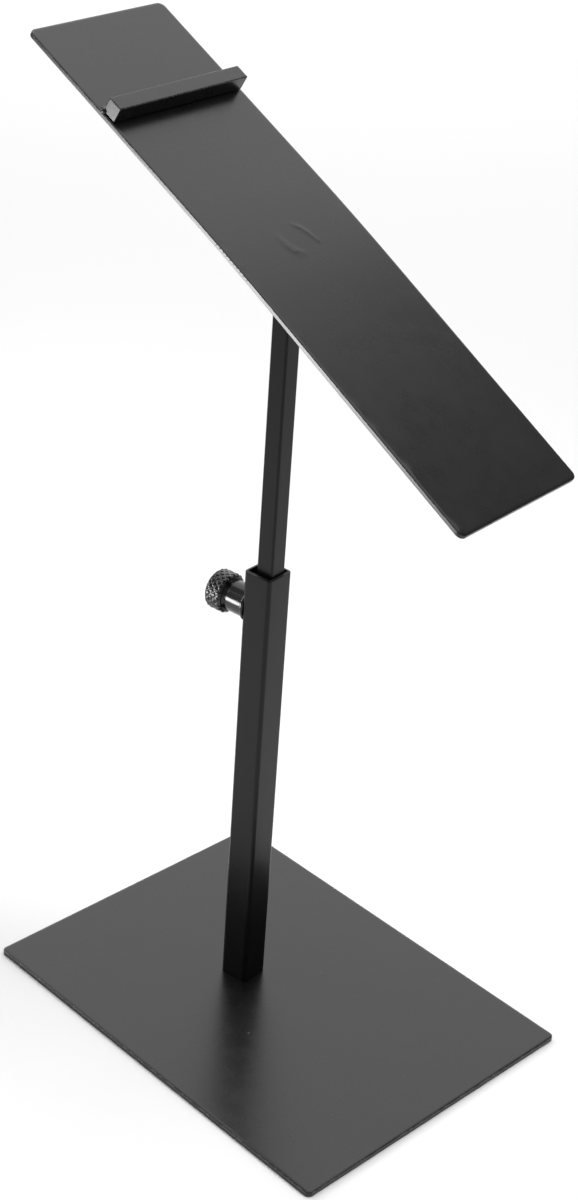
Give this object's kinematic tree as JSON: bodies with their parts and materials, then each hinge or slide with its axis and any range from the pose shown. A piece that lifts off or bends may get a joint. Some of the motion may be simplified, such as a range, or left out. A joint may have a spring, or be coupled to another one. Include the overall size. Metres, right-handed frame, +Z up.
{
  "type": "adjustable display stand",
  "caption": "Height-adjustable tabletop display stand: sloping tray with a stop bar on a telescopic square post, clamped by a knurled thumb screw over a flat base.",
  "frame": {"origin": "centre of the base plate's underside", "axes": "+Z up along the post, -Y towards the tray's low end, +X to the right as seen from the low end; the thumb screw is on the +Y side"},
  "size_m": [0.15, 0.2292, 0.4097],
  "materials": {
    "plate_coat": "satin black powder coat on sheet steel, with a fine orange peel",
    "tube_coat": "satin black powder coat on square steel tube",
    "knob_coat": "semi-gloss black coat on turned and knurled steel",
    "bare_steel": "turned steel, zinc plated, dull"
  },
  "bodies": {
    "stand": {"base_plate": "plate_coat", "base_screw": "bare_steel", "foot_plug": "bare_steel", "outer_tube": "tube_coat", "clamp_boss": "knob_coat", "boss_weld": "knob_coat"},
    "mast": {"inner_tube": "tube_coat", "tray_plate": "plate_coat", "tray_weld": "tube_coat", "stop_bar": "plate_coat", "stop_bar_weld_left": "plate_coat", "stop_bar_weld_right": "plate_coat"},
    "clamp_stud": {"clamp_stud": "bare_steel"},
    "thumb_knob": {"thumb_knob": "knob_coat"}
  },
  "joints": [
    {"name": "height_slide", "type": "slide", "parent": "stand", "child": "mast", "axis": [0, 0, 1], "range_m": [-0.13, 0.03]},
    {"name": "screw_feed", "type": "slide", "parent": "stand", "child": "clamp_stud", "axis": [-0.1045, 0.9945, 0], "range_m": [0, 0.003]},
    {"name": "knob_turn", "type": "hinge", "parent": "clamp_stud", "child": "thumb_knob", "pos_m": [-0.00073, 0.02746, 0.1883], "axis": [-0.1045, 0.9945, 0], "range_deg": [0, 1080]}
  ],
  "couplings": [
    {"joint": "knob_turn", "follows": "screw_feed", "rad_per_m": 6283.2}
  ]
}
